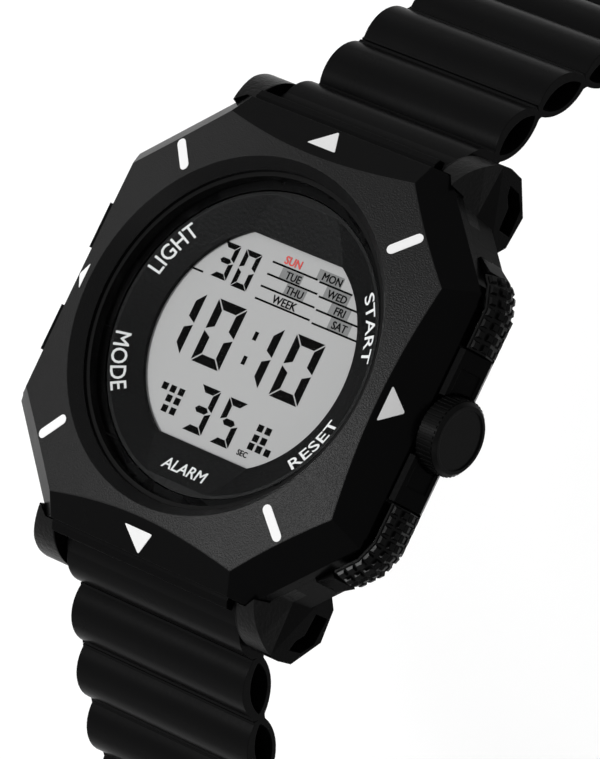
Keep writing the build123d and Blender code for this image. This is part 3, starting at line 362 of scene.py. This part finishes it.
def ringPlace(word):  # bends a flat word round the dial ring and lays it on the slope
    def place(x, y, lift):
        slope = (dial["rimLevel"] - dial["windowLevel"]) / (dial["rimRadius"] - dial["windowRadius"])
        radius = word["radius"] - word["turn"] * y / sqrt(1 + slope * slope)
        angle = radians(word["middle"]) + word["turn"] * (x + word["lean"] * y) / word["radius"]
        level = dial["windowLevel"] + (radius - dial["windowRadius"]) * slope
        return radius * cos(angle), radius * sin(angle), level + lift
    return place


for word in ringWords:
    addPrint("word" + word["text"].title(), wordShape(word["text"], word["size"], ringPrint["bold"]),
             ringPlace(word), ringPrint, inks["whitePrint"])

footWord = {"text": "ALARM", "size": 1.75, "y": -13.95, "bold": 0.012, "lift": 0.05, "thick": 0.03}


def footPlace(x, y, lift):  # the flat slope at 6 o'clock
    spot = footWord["y"] + y / sqrt(1 + dial["flatSlope"] ** 2)
    return x, spot, dial["windowLevel"] + (-spot - dial["windowHeight"]) * dial["flatSlope"] + lift


addPrint("wordAlarm", wordShape(footWord["text"], footWord["size"], footWord["bold"]), footPlace,
         footWord, inks["whitePrint"])

print("display")
litSegments = {"0": "abcdef", "1": "bc", "3": "abcdg", "5": "acdfg"}
segmentGapShare = 0.12  # of the stroke, at each end of a segment


def digitOutlines(digit, left, low, width, height, stroke):  # seven segments with mitred ends
    right, top, middle = left + width, low + height, low + height / 2
    gap, half = stroke * segmentGapShare, stroke / 2
    inLeft, inRight, inTop, inLow = left + stroke, right - stroke, top - stroke, low + stroke
    upper, lower = middle + half, middle - half
    shapes = {
        "a": [(left + gap, top), (right - gap, top), (inRight - gap, inTop), (inLeft + gap, inTop)],
        "b": [(right, top - gap), (right, middle + gap), (inRight, upper + gap), (inRight, inTop - gap)],
        "c": [(right, low + gap), (inRight, inLow + gap), (inRight, lower - gap), (right, middle - gap)],
        "d": [(inLeft + gap, inLow), (inRight - gap, inLow), (right - gap, low), (left + gap, low)],
        "e": [(left, low + gap), (left, middle - gap), (inLeft, lower - gap), (inLeft, inLow + gap)],
        "f": [(left, top - gap), (inLeft, inTop - gap), (inLeft, upper + gap), (left, middle + gap)],
        "g": [(left + gap + half, middle), (inLeft + gap, upper), (inRight - gap, upper),
              (right - gap - half, middle), (inRight - gap, lower), (inLeft + gap, lower)],
    }
    return [shapes[key] for key in litSegments[digit]]


def displayPlace(x, y, lift):
    return x, y, dial["displayTop"] + lift


# Layers on the display's glass, in millimetres above it
displayLayers = {"patches": {"lift": 0.015, "thick": 0.01}, "segments": {"lift": 0.03, "thick": 0.02},
                 "words": {"lift": 0.045, "thick": 0.02}}
digits = (
    {"digit": "1", "left": -11.85, "low": -3.15, "width": 3.8, "height": 6.6, "stroke": 0.95},
    {"digit": "0", "left": -6.45, "low": -3.2, "width": 3.8, "height": 6.7, "stroke": 0.95},
    {"digit": "1", "left": -1.2, "low": -3.3, "width": 3.8, "height": 6.5, "stroke": 0.95},
    {"digit": "0", "left": 4.2, "low": -3.4, "width": 3.8, "height": 6.65, "stroke": 0.95},
    {"digit": "3", "left": -8.85, "low": 5.25, "width": 2.1, "height": 3.75, "stroke": 0.55},
    {"digit": "0", "left": -6.0, "low": 5.05, "width": 2.1, "height": 3.95, "stroke": 0.55},
    {"digit": "3", "left": -3.75, "low": -9.7, "width": 2.55, "height": 4.8, "stroke": 0.68},
    {"digit": "5", "left": 0.05, "low": -9.8, "width": 2.45, "height": 4.8, "stroke": 0.68},
)
segments = []
for digit in digits:
    segments += digitOutlines(**digit)
# Rules between the day rows, each with its left end, right end and height
rules = {"half": 0.1, "spans": (
    (-12.35, -9.79, 5.25), (-2.43, 3.58, 8.82), (3.87, 8.25, 8.72), (-2.41, 4.29, 7.52), (4.58, 9.75, 7.38),
    (-2.5, 4.69, 6.2), (4.98, 10.6, 6.08), (-2.5, 4.82, 4.88), (5.19, 11.4, 4.72))}
segments += [boxOutline(x0, y - rules["half"], x1, y + rules["half"]) for x0, x1, y in rules["spans"]]
colon = {"left": -0.6, "right": -0.12, "half": 0.45, "middles": (1.42, -1.19)}
segments += [boxOutline(colon["left"], y - colon["half"], colon["right"], y + colon["half"])
             for y in colon["middles"]]
dots = {"half": 0.36, "spots": (
    (-7.89, -6.5), (-6.81, -6.5), (-5.69, -6.5), (-6.79, -7.5), (-5.69, -7.5), (-6.76, -8.55),
    (-5.67, -8.55), (5.11, -6.68), (6.15, -6.68), (5.1, -7.75), (6.14, -7.75), (4.98, -8.65),
    (6.02, -8.65), (7.13, -8.65))}
segments += [boxOutline(x - dots["half"], y - dots["half"], x + dots["half"], y + dots["half"])
             for x, y in dots["spots"]]
addPrint("displaySegments", outlineShape(segments), displayPlace, displayLayers["segments"],
         inks["blackSegment"])
# Grey patches behind the day names, each with its left, lower, right and upper edge
patches = ((-0.93, 7.6, 1.85, 8.68), (0.4, 6.28, 3.05, 7.4), (3.3, 8.82, 6.6, 9.95), (5.0, 7.48, 8.2, 8.62),
           (6.4, 6.18, 9.0, 7.28), (7.1, 4.82, 9.85, 5.98))
addPrint("displayPatches", outlineShape([boxOutline(*patch) for patch in patches]), displayPlace,
         displayLayers["patches"], inks["greySegment"])
dayBold = 0.02
dayWords = (
    {"text": "SUN", "x": 0.0, "y": 9.1, "size": 1.15, "ink": "redSegment"},
    {"text": "MON", "x": 5.25, "y": 9.0, "size": 1.1, "ink": "blackSegment"},
    {"text": "TUE", "x": 0.75, "y": 7.72, "size": 1.1, "ink": "blackSegment"},
    {"text": "WED", "x": 6.7, "y": 7.62, "size": 1.1, "ink": "blackSegment"},
    {"text": "THU", "x": 1.7, "y": 6.42, "size": 1.1, "ink": "blackSegment"},
    {"text": "FRI", "x": 7.8, "y": 6.32, "size": 1.1, "ink": "blackSegment"},
    {"text": "WEEK", "x": 1.1, "y": 5.08, "size": 1.15, "ink": "blackSegment"},
    {"text": "SAT", "x": 8.5, "y": 4.98, "size": 1.1, "ink": "blackSegment"},
    {"text": "SEC", "x": 4.4, "y": -9.9, "size": 0.8, "ink": "blackSegment"},
)


def dayPlace(word):
    def place(x, y, lift):
        return displayPlace(word["x"] + x, word["y"] + y, lift)
    return place


for word in dayWords:
    addPrint("day" + word["text"].title(), wordShape(word["text"], word["size"], dayBold), dayPlace(word),
             displayLayers["words"], inks[word["ink"]])

print("crown grip")
grip = {"count": 44, "radius": 3.8, "level": 7.5, "from": 23.65, "to": 25.55, "width": 0.26, "height": 0.2}
ridge = Matrix.Diagonal((grip["to"] - grip["from"], grip["width"], grip["height"], 1.0))
middle = Matrix.Translation(((grip["from"] + grip["to"]) / 2, 0.0, grip["level"]))
outward = Matrix.Translation((0.0, 0.0, grip["radius"]))
shape = bmesh.new()
for k in range(grip["count"]):
    turn = Matrix.Rotation(2 * pi * k / grip["count"], 4, "X")
    bmesh.ops.create_cube(shape, size=1.0, matrix=Matrix.Scale(mm, 4) @ middle @ turn @ outward @ ridge)
keepMesh("crownGrip", shape, finishes["crown_resin"])


def cutCopy(name, planes):  # closed copy of a CAD node, without what lies past each plane
    shape = bmesh.new()
    shape.from_mesh(frame["nodes"][name].data)
    bmesh.ops.remove_doubles(shape, verts=shape.verts, dist=weldReach)
    for spot, facing in planes:
        bmesh.ops.bisect_plane(shape, geom=shape.verts[:] + shape.edges[:] + shape.faces[:], dist=weldReach,
                               plane_co=Vector(spot) * mm, plane_no=facing, clear_outer=True)
        bmesh.ops.holes_fill(shape, edges=[edge for edge in shape.edges if edge.is_boundary])
    bmesh.ops.triangulate(shape, faces=shape.faces)
    bmesh.ops.recalc_face_normals(shape, faces=shape.faces)
    return shape


print("pusher springs and stems")
pushers = {"names": ("start", "reset", "light", "mode"), "travel": 0.7, "stemEnd": 23.9,
           "padFaceX": 24.7, "padFaceZ": 8.0, "padFacingX": 0.954, "padFacingZ": -0.298}
for pusher in pushers["names"]:
    body = pusher + "_pusher"
    name = pusher + "_spring"
    low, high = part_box(name)
    side = 1 if high[0] > 0 else -1
    piece = keepMesh(pusher + "Spring", cutCopy(name, ()), finishes["spring_steel"], body)
    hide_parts(name)
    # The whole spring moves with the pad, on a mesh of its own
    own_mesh(piece)
    # The stem ends early, and a plug of the pad's resin closes its place, flush with the pad's face
    name = pusher + "_stem"
    end = (side * pushers["stemEnd"], 0, 0)
    face = (side * pushers["padFaceX"], 0, pushers["padFaceZ"])
    facing = (side * pushers["padFacingX"], 0, pushers["padFacingZ"])
    piece = keepMesh(pusher + "Stem", cutCopy(name, [(end, (side, 0, 0))]), finishes["bright_steel"], body)
    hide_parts(name)
    shape = cutCopy(name, [(end, (-side, 0, 0)), (face, facing)])
    keepMesh(pusher + "Plug", shape, finishes["pad_resin"], body)

print("left pads")
# The photo hides both left pads behind the bezel, so their upper edges slope away here.
# Each cut has a heading and a lean in degrees and a reach in millimetres.
leftPads = {
    "light": ((180, 39.8, 15.45), (157.5, 38.9, 18.15), (135, 33.3, 19.5)),
    "mode": ((180, 39.8, 15.45), (202.5, 36.8, 18.85), (225, 28.9, 20.75)),
}


def leanPlane(heading, lean, reach):
    flat = cos(radians(lean))
    facing = Vector((cos(radians(heading)) * flat, sin(radians(heading)) * flat, sin(radians(lean))))
    return facing * reach + Vector((0, 0, dial["markerLevel"])), facing


for pusher, cuts in leftPads.items():
    name = pusher + "_pad"
    shape = cutCopy(name, [leanPlane(*cut) for cut in cuts])
    piece = keepMesh(name + "Sloped", shape, finishes["pad_resin"], pusher + "_pusher")
    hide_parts(name)

print("stage")
ground = {"halfMetres": 3.0, "cameraGlow": 0.15,
          "look": {"colour": (0.93, 0.93, 0.93), "rough": 0.9, "level": 0.1, "grain": 0.02, "edge": 0.0}}
shape = bmesh.new()
bmesh.ops.create_grid(shape, x_segments=1, y_segments=1, size=ground["halfMetres"],
                      matrix=Matrix.Translation((0, 0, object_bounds()[0][2])))
mesh = bpy.data.meshes.new("floor")
shape.to_mesh(mesh)
shape.free()
floor = bpy.data.objects.new("floor", mesh)
bpy.context.collection.objects.link(floor)
paint = makeMaterial("floorPaint", ground["look"])
tree = paint.node_tree
shader = tree.nodes["Principled BSDF"]
shader.inputs["Emission Color"].default_value = (1.0, 1.0, 1.0, 1.0)
seen = addNode(tree, "LightPath").outputs["Is Camera Ray"]
tree.links.new(mathNode(tree, "MULTIPLY", seen, ground["cameraGlow"]), shader.inputs["Emission Strength"])
mesh.materials.append(paint)

# The ambient light falls on the watch, and the backdrop is only seen, directly, mirrored or through glass
studio = {"ambient": 0.3, "backdrop": 1.0}
world = bpy.data.worlds.new("studio")
bpy.context.scene.world = world
world.use_nodes = True
tree = world.node_tree
path = addNode(tree, "LightPath")
seen = mathNode(tree, "MAXIMUM", path.outputs["Is Camera Ray"], path.outputs["Is Glossy Ray"])
seen = mathNode(tree, "MAXIMUM", seen, path.outputs["Is Transmission Ray"])
extra = mathNode(tree, "MULTIPLY", seen, studio["backdrop"] - studio["ambient"])
tree.links.new(mathNode(tree, "ADD", extra, studio["ambient"]), tree.nodes["Background"].inputs["Strength"])
tree.nodes["Background"].inputs["Color"].default_value = (1.0, 1.0, 1.0, 1.0)

print("lamps")
lamps = (
    {"name": "keyLamp", "place": (-0.317, -0.147, 0.828), "size": 0.2, "power": 6.0},
    {"name": "leftLamp", "place": (-0.72, 0.22, 0.489), "size": 0.2, "power": 0.4},
    {"name": "crownLamp", "place": (0.55, -0.6, 0.4), "size": 0.2, "power": 0.5},
)
for lamp in lamps:
    data = bpy.data.lights.new(lamp["name"], "AREA")
    data.size = lamp["size"]
    data.energy = lamp["power"]
    holder = bpy.data.objects.new(lamp["name"], data)
    bpy.context.collection.objects.link(holder)
    holder.location = lamp["place"]
    holder.rotation_euler = (-Vector(lamp["place"])).to_track_quat("-Z", "Y").to_euler()

print("camera")
shot = {"place": (0.4576, -0.0424, 0.5883), "right": (0.72698, 0.42998, -0.53537),
        "down": (0.30833, -0.90106, -0.30499), "ahead": (-0.61354, 0.05665, -0.78763),
        "lens": 359.5, "sensor": 36.0, "farClip": 20.0}
data = bpy.data.cameras.new("photoCamera")
data.lens = shot["lens"]
data.sensor_width = shot["sensor"]
data.clip_end = shot["farClip"]
camera = bpy.data.objects.new("photoCamera", data)
bpy.context.collection.objects.link(camera)
turn = Matrix((shot["right"], -Vector(shot["down"]), -Vector(shot["ahead"]))).transposed()
camera.matrix_world = Matrix.Translation(shot["place"]) @ turn.to_4x4()
bpy.context.scene.camera = camera
bpy.context.scene.view_settings.view_transform = "Standard"
